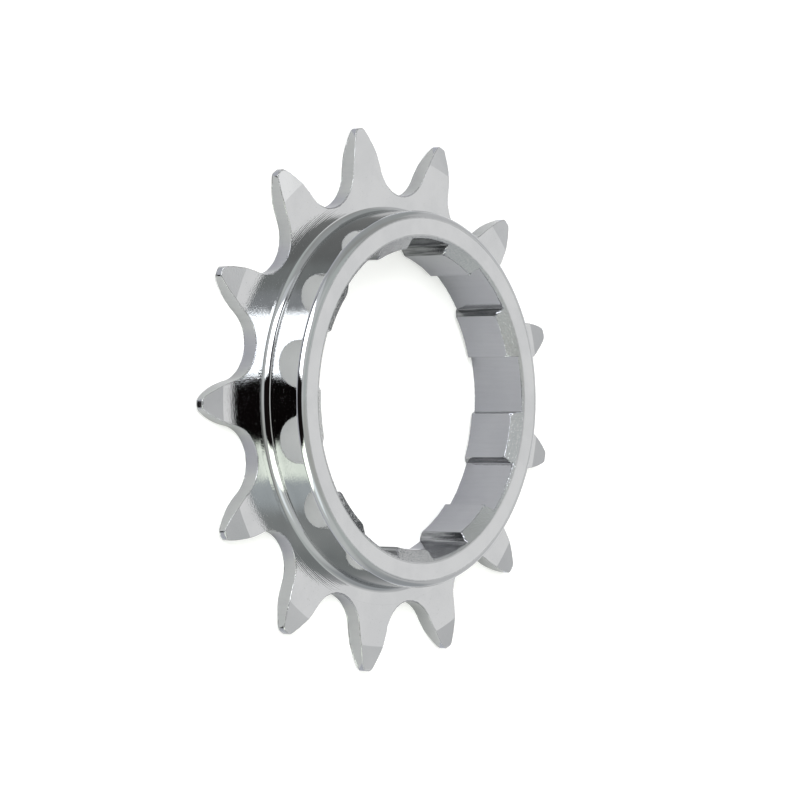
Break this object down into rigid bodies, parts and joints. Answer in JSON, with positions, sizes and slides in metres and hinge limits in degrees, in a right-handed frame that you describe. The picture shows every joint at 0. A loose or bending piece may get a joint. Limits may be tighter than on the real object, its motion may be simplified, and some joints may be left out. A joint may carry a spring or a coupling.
{
  "type": "single speed cog",
  "caption": "Bright steel bicycle cog: thin toothed plate with bevelled tooth tips, a tall rounded collar on its front and a through bore with chamfered splines.",
  "frame": {"origin": "on the bore axis, in the plane of the tooth plate's back face", "axes": "+Z along the bore axis, from the plate's back face to the collar's front; +X through the middle of one tooth and of one bore recess"},
  "size_m": [0.0589, 0.0592, 0.0069],
  "materials": {
    "plated_steel": "bright plated, finely turned"
  },
  "bodies": {
    "root": {"cog": "plated_steel"}
  },
  "joints": []
}
